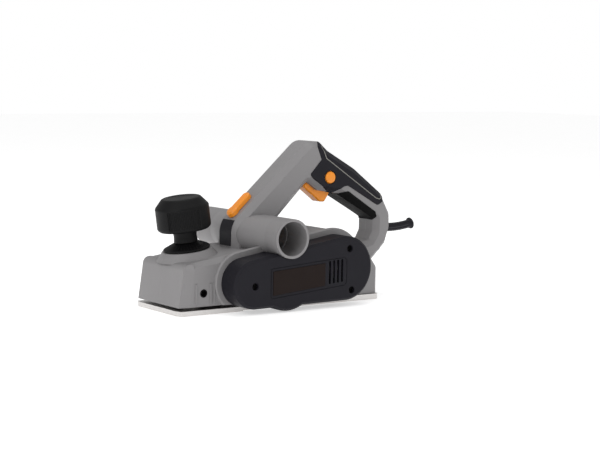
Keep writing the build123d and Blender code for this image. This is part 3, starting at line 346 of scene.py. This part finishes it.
def floor_paper():
    """Matt white background paper with a faint fibre."""
    material, tree, shader = new_material("floor_paper")
    grain = use_group(tree, GRAIN, Pits=300.0, Drift=3.0)
    tree.links.new(
        mix(tree, grain.outputs["Shade"], (0.93, 0.93, 0.93, 1.0), (0.97, 0.97, 0.97, 1.0)),
        shader.inputs["Base Color"],
    )
    shader.inputs["Roughness"].default_value = 0.9
    shader.inputs["Specular IOR Level"].default_value = 0.1
    shader.inputs["Emission Color"].default_value = (1.0, 1.0, 1.0, 1.0)
    shader.inputs["Emission Strength"].default_value = FLOOR_GLOW
    bump(tree, shader, grain.outputs["Height"], 0.0001)
    return material


def copper_wire():
    """Enamelled copper: close bands of round wire, darkened in the gaps between wires by painted shade and lightened
    on their crests by a painted highlight.
    """
    material, tree, shader = new_material("winding_copper")
    wires = use_group(tree, RIBBING, Direction=(0.0, 0.7, 0.7), Pitch=0.0009)
    grain = use_group(tree, GRAIN, Pits=900.0, Drift=30.0)
    # painted shade in the gaps between wires and a painted highlight on their crests, following the ridge height
    tone = mix(tree, wires.outputs["Height"], linear(92, 44, 22), linear(198, 112, 62))
    uneven = mix(tree, grain.outputs["Shade"], scaled(linear(150, 80, 40), 0.8), tone)
    tree.links.new(uneven, shader.inputs["Base Color"])
    shader.inputs["Metallic"].default_value = 0.8
    tree.links.new(spread(tree, grain.outputs["Gloss"], 0.25, 0.45), shader.inputs["Roughness"])
    shader.inputs["Coat Weight"].default_value = 0.4
    bump(tree, shader, wires.outputs["Height"], 0.0004)
    return material


def printed_label():
    """A glossy dark brown foil label, without print, with a thin paler margin that is a painted highlight along its
    edges.
    """
    material, tree, shader = new_material("label_brown")
    grain = use_group(tree, GRAIN, Pits=5200.0, Drift=20.0)
    edges = use_group(tree, EDGES, Radius=0.0004, Reach=6.0)
    brown = linear(26, 14, 10)
    shader.inputs["Specular IOR Level"].default_value = 0.15
    tone = mix(tree, grain.outputs["Shade"], scaled(brown, 0.9), scaled(brown, 1.15))
    # painted highlight: the label's edges are lightened following the edge mask
    tree.links.new(mix(tree, edges.outputs["Mask"], tone, scaled(brown, 2.0)), shader.inputs["Base Color"])
    tree.links.new(spread(tree, grain.outputs["Gloss"], 0.38, 0.5), shader.inputs["Roughness"])
    bump(tree, shader, grain.outputs["Height"], 0.00001, edges.outputs["Normal"])
    return material


def make_materials():
    """Every finish of the planer, by the name of its slot in the record."""
    steel_marks = (900.0, 900.0, 900.0)
    return {
        "housing_grey": moulded("housing_grey", linear(136, 134, 135), (0.42, 0.56)),
        "sole_aluminium": machined("sole_aluminium", linear(214, 211, 209), (0.3, 0.42), (30.0, 1400.0, 1400.0)),
        "cover_black": moulded("cover_black", linear(29, 28, 34), (0.5, 0.62), 2200.0, 0.00004, 0.25, shine=0.16),
        "screw_black": machined("screw_black", linear(24, 23, 24), (0.35, 0.5), steel_marks),
        "screw_steel": machined("screw_steel", linear(120, 118, 116), (0.25, 0.4), steel_marks),
        "label_brown": printed_label(),
        "insert_brass": machined("insert_brass", linear(190, 152, 82), (0.25, 0.4), steel_marks),
        "panel_charcoal": moulded(
            "panel_charcoal", linear(31, 30, 36), (0.5, 0.66), 3000.0, 0.00005, 0.2,
            ribs=((0.629, 0.0, -0.777), 0.00125, 1.2), shine=0.16,
        ),
        "inlay_grey": moulded("inlay_grey", linear(138, 136, 130), (0.45, 0.6)),
        "grip_rubber": moulded("grip_rubber", linear(12, 12, 12), (0.6, 0.78), 1600.0, 0.00006, 0.15, shine=0.12),
        "guard_rubber": moulded("guard_rubber", linear(26, 25, 31), (0.32, 0.46), 2400.0, 0.00002, 0.2, shine=0.2),
        "switch_black": moulded("switch_black", linear(26, 26, 28), (0.4, 0.5)),
        "core_steel": machined("core_steel", linear(112, 110, 108), (0.35, 0.5), (300.0, 3000.0, 300.0)),
        "winding_copper": copper_wire(),
        "brush_carbon": moulded("brush_carbon", linear(44, 44, 46), (0.5, 0.7), 1500.0, 0.00005),
        "bearing_steel": machined("bearing_steel", linear(186, 186, 188), (0.16, 0.28), steel_marks),
        "belt_rubber": moulded("belt_rubber", linear(22, 22, 23), (0.6, 0.75), 1200.0, 0.00006, 0.1),
        "knob_black": moulded("knob_black", linear(15, 15, 16), (0.46, 0.58), 2000.0, 0.00003, 0.3, shine=0.16),
        "drum_aluminium": machined("drum_aluminium", linear(176, 176, 178), (0.28, 0.4), (1200.0, 60.0, 1200.0)),
        "blade_steel": machined("blade_steel", linear(200, 202, 206), (0.14, 0.26), (60.0, 1500.0, 60.0)),
        "pulley_metal": machined("pulley_metal", linear(150, 150, 152), (0.25, 0.4), (400.0, 40.0, 400.0)),
        "control_orange": moulded("control_orange", linear(250, 150, 34), (0.34, 0.46), 2600.0, 0.00003, 0.35, 0.0005),
    }


# ---- surfaces -----------------------------------------------------------------------
def rings_to_mesh(name, rings):
    """A closed skin over rings of points: four-sided faces between neighbours, and a fan over each end ring.

    The rings run along the outside with each ring turning so that turn cross run points outwards.
    """
    count, around = rings.shape[:2]
    start = np.arange(count - 1)[:, None] * around
    here = np.arange(around)[None, :]
    there = (here + 1) % around
    quads = np.stack([start + here, start + there, start + around + there, start + around + here], axis=-1)
    points = np.concatenate([rings.reshape(-1, 3), [rings[0].mean(0), rings[-1].mean(0)]])
    first, last = count * around, count * around + 1
    low = np.stack([np.full(around, first), there[0], here[0]], axis=-1)
    high = np.stack([np.full(around, last), here[0] + (count - 1) * around, there[0] + (count - 1) * around], axis=-1)
    mesh = bpy.data.meshes.new(name)
    mesh.from_pydata(points.tolist(), [], quads.reshape(-1, 4).tolist() + low.tolist() + high.tolist())
    mesh.shade_smooth()
    mesh.set_sharp_from_angle(angle=math.radians(38))
    return mesh


def add_piece(name, mesh, body, slot, replaced=()):
    """Links a finished mesh, gives it its finish, and hands it to its body."""
    piece = bpy.data.objects.new(name, mesh)
    bpy.context.scene.collection.objects.link(piece)
    mesh.materials.append(MATERIALS[slot])
    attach(piece, body)
    if replaced:
        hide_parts(*replaced)
    return piece


def step(value, low, high):
    """0 below low, 1 above high, and a smooth S between them."""
    share = np.clip((value - low) / (high - low), 0.0, 1.0)
    return share * share * (3 - 2 * share)


def along_profile(corners, spacing):
    """Points along a bent line of (radius, height) corners, about evenly spaced, corners kept."""
    runs = []
    for first, second in zip(corners[:-1], corners[1:]):
        first, second = np.array(first), np.array(second)
        count = max(1, int(round(np.linalg.norm(second - first) / spacing)))
        runs.append(first + (second - first) * (np.arange(count) / count)[:, None])
    runs.append(np.array([corners[-1]]))
    return np.concatenate(runs)


def knob_frame():
    """The knob's seat on the body and its leaning axes, as (origin, forward, up)."""
    joint = next(j for j in frame["joints"] if j["name"] == "depth_turn")
    up = -np.array(joint["axis"], float)
    up = up / np.linalg.norm(up)
    return np.array(joint["pos_m"], float), np.array((up[2], 0.0, -up[0])), up


def turned(radius, height, angle):
    """Points at a radius, height and angle about the knob's axis."""
    origin, forward, up = knob_frame()
    side = np.cross(up, forward)
    flat = np.cos(angle)[..., None] * forward + np.sin(angle)[..., None] * side
    return origin + radius[..., None] * flat + height[..., None] * up


def make_knob():
    """Depth knob: a turned profile whose grip wall carries three finely ribbed patches between grooves.

    Radius = profile(height) - rib depth * (1 - cos(ribs * angle)) / 2 inside a patch - groove at each patch's
    edge, all faded out above and below the wall.
    """
    metre = 0.001
    neck, head, base, top = 12.2, 27.6, 21.5, 53.4
    corners = [
        (4.0, 7.35), (neck - 0.6, 7.35), (neck, 8.0), (neck - 0.5, 14.0), (neck, base - 1.5), (head - 5.6, base - 1.5),
        (head - 2.4, base - 0.9), (head - 0.6, base + 0.8), (head, base + 2.6), (head, base + 9.0),
        (head, top - 10.2), (head - 0.15, top - 9.5), (head - 0.5, top - 8.9), (head - 0.7, top - 8.3),
        (head - 6.6, top - 1.4), (head - 7.3, top - 0.6), (head - 8.6, top), (head - 14.0, top),
        (head - 14.6, top - 0.35), (6.0, top - 0.45),
    ]
    profile = along_profile(corners, 0.9)
    angle = np.arange(960) / 960 * TAU
    radius = np.repeat(profile[:, :1], angle.size, axis=1)
    height = np.repeat(profile[:, 1:], angle.size, axis=1)
    patch = math.radians(33.0)
    facing = math.radians(-118.0)
    offset = (angle - facing + TAU / 6) % (TAU / 3) - TAU / 6
    inside = 1.0 - step(np.abs(offset), patch - 0.03, patch)
    ribs = 0.5 - 0.5 * np.cos((offset + patch) / (2 * patch) * 18 * TAU)
    groove = np.exp(-(((np.abs(offset) - patch - 0.03) / 0.022) ** 2))
    wall = step(height, base + 1.2, base + 2.6) * (1.0 - step(height, top - 10.9, top - 10.0))
    wall = wall * (profile[:, :1] > head - 1.5)
    radius = radius - wall * (inside * (0.35 + 0.55 * ribs) + 1.1 * groove)
    rings = turned(radius * metre, height * metre, np.repeat(angle[None, :], profile.shape[0], axis=0))
    add_piece("knob_grip", rings_to_mesh("knob_grip", rings), "knob", "knob_black", ["depth_knob"])


def make_dial():
    """Depth dial: a low cone with raised graduation lines over half of its skirt.

    Radius and height follow the cone; height gains the line's rise where the angle is near a graduation.
    """
    metre = 0.001
    corners = [(6.2, 0.0), (23.2, 0.0), (24.0, 0.8), (24.0, 1.4), (23.2, 2.2), (13.0, 7.0), (12.0, 7.2), (6.2, 7.2)]
    profile = along_profile(corners, 0.7)
    angle = np.arange(720) / 720 * TAU
    radius = np.repeat(profile[:, :1], angle.size, axis=1)
    height = np.repeat(profile[:, 1:], angle.size, axis=1)
    pitch = math.radians(9.0)
    nearest = (angle / pitch + 0.5) % 1.0 - 0.5
    line = 1.0 - step(np.abs(nearest) * pitch, 0.010, 0.016)
    scale = (np.abs((angle - math.radians(-60.0) + math.pi) % TAU - math.pi) < math.radians(86.0)) * 1.0
    long_line = np.round(angle / pitch) % 4 == 0
    inner = np.where(long_line, 14.0, 17.5)
    skirt = (radius > inner) * (radius < 22.8) * (height > 2.0)
    height = height + skirt * line * scale * 0.45
    rings = turned(radius * metre, height * metre, np.repeat(angle[None, :], profile.shape[0], axis=0))
    mesh = rings_to_mesh("dial_skirt", rings)
    add_piece("dial_skirt", mesh, "knob", "knob_black", ["depth_dial"])


def make_guard():
    """Cord guard: a sleeve on a line that turns up gently, with long grooves that twist slowly, and a rolled rim.

    Centre line = level, then a round rise past the bend. Radius = profile(reach) - groove depth *
    (1 - cos(grooves * angle + twist * reach)) / 2, faded out at the root and the rim; the profile then turns
    in over the rim and runs back inside the bore.
    """
    metre = 0.001
    root, bend, end, level, rise_radius = 157.6, 174.0, 203.4, 71.5, 130.3
    bore, sleeve, rim = 2.9, 4.7, 6.4
    corners = [
        (root, sleeve + 0.6), (root + 5.0, sleeve + 0.5), (root + 8.0, sleeve), (end - 6.0, sleeve - 0.1),
        (end - 3.6, sleeve + 0.2), (end - 2.6, rim - 0.6), (end - 1.6, rim), (end - 0.7, rim - 0.1),
        (end, rim - 0.9), (end, bore + 0.5), (end - 0.5, bore), (end - 26.0, bore),
    ]
    profile = along_profile(corners, 0.5)
    reach, radius = profile[:, :1], profile[:, 1:]
    past_bend = np.clip(reach - bend, 0.0, None)
    height = level + rise_radius - np.sqrt(rise_radius ** 2 - past_bend ** 2)
    tilt = np.arcsin(past_bend / rise_radius)
    angle = (np.arange(288) / 288 * TAU)[None, :]
    outside = (radius > bore + 1.0) * step(reach, root + 8.0, root + 12.0) * (1.0 - step(reach, end - 6.5, end - 4.5))
    wave = 0.5 - 0.5 * np.cos(8 * angle + 0.05 * (reach - root))
    radius = radius - 0.8 * outside * wave
    across = radius * np.cos(angle)
    upward = radius * np.sin(angle)
    rings = np.stack([reach - upward * np.sin(tilt), across, height + upward * np.cos(tilt)], axis=-1)
    add_piece("guard_sleeve", rings_to_mesh("guard_sleeve", rings * metre), "housing", "guard_rubber", ["cord_guard"])


def make_button():
    """Lock-on button: a turned cap with a shallow dome, its axis along Y through the CAD button's centre.

    Points = centre + radius * (cos, sin) of the angle; radius and depth follow the profile, measured inwards
    from the outer face of the CAD button.
    """
    metre = 0.001
    low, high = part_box("lock_on_button")
    centre_x, centre_z = (low[0] + high[0]) / 2, (low[2] + high[2]) / 2
    corners = [
        (2.5, 8.0), (2.5, 7.2), (8.4, 7.2), (8.4, 5.4), (6.3, 5.4), (6.3, 1.7), (6.15, 1.2), (5.7, 0.75),
        (4.9, 0.42), (3.4, 0.16), (1.8, 0.04), (0.4, 0.0),
    ]
    profile = along_profile(corners, 0.3) * metre
    angle = (np.arange(192) / 192 * TAU)[None, :]
    radius, depth = profile[:, :1], profile[:, 1:]
    across = centre_x + radius * np.cos(angle)
    upward = centre_z + radius * np.sin(angle)
    rings = np.stack([across, low[1] + depth + 0.0 * angle, upward], axis=-1)
    mesh = rings_to_mesh("button_cap", rings)
    add_piece("button_cap", mesh, "lock_button", "control_orange", ["lock_on_button"])


# ---- assembly -----------------------------------------------------------------------
ROOM_STRENGTH = 0.50
BACKDROP_STRENGTH = 1.0
FLOOR_GLOW = 0.5
GRAIN = make_moulded_grain()
EDGES = make_soft_edges()
MARKS = make_tool_marks()
RIBBING = make_ribbing()
MATERIALS = make_materials()

make_camera()
make_studio()
make_floor()

for part in frame["record"]["subparts"]:
    node = frame["nodes"][part["node"]]
    node.data.materials.clear()
    node.data.materials.append(MATERIALS[part["material_slot"]])

make_knob()
make_dial()
make_guard()
make_button()
